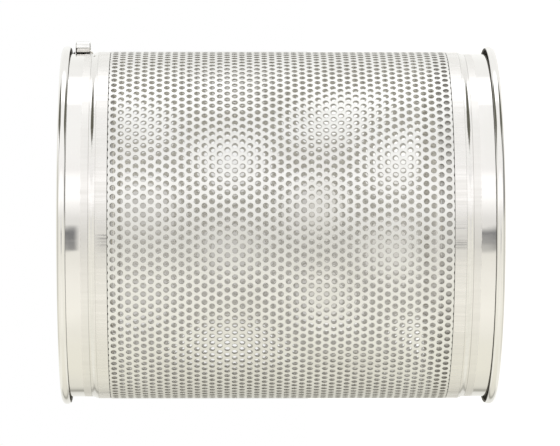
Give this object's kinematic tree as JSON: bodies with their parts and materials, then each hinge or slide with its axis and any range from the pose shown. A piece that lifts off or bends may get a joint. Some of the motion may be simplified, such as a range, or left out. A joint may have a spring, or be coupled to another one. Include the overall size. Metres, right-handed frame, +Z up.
{
  "type": "cheese mold",
  "caption": "Open-ended perforated cylindrical cheese mould with formed end collars, rolled rims and a small locating pin.",
  "frame": {"origin": "centre of the circle that the lower rolled rim stands on", "axes": "+Z up along the cylinder's axis from the lower rim to the upper rim; +X from the axis through the locating pin"},
  "size_m": [0.2041, 0.2012, 0.242],
  "materials": {
    "perforated_sheet": "fine brushed stainless steel with round punched holes",
    "collar_steel": "stainless steel, polished near the rim and satin on the shoulder and neck",
    "weld_bead": "dull stainless weld bead with fine ripples",
    "pin_steel": "turned and polished stainless steel"
  },
  "bodies": {
    "root": {"perforated_shell": "perforated_sheet", "shell_seam_weld": "weld_bead", "lower_collar": "collar_steel", "upper_collar": "collar_steel", "lower_joint_weld": "weld_bead", "upper_joint_weld": "weld_bead", "locating_pin": "pin_steel", "locating_pin_welds": "weld_bead"}
  },
  "joints": []
}
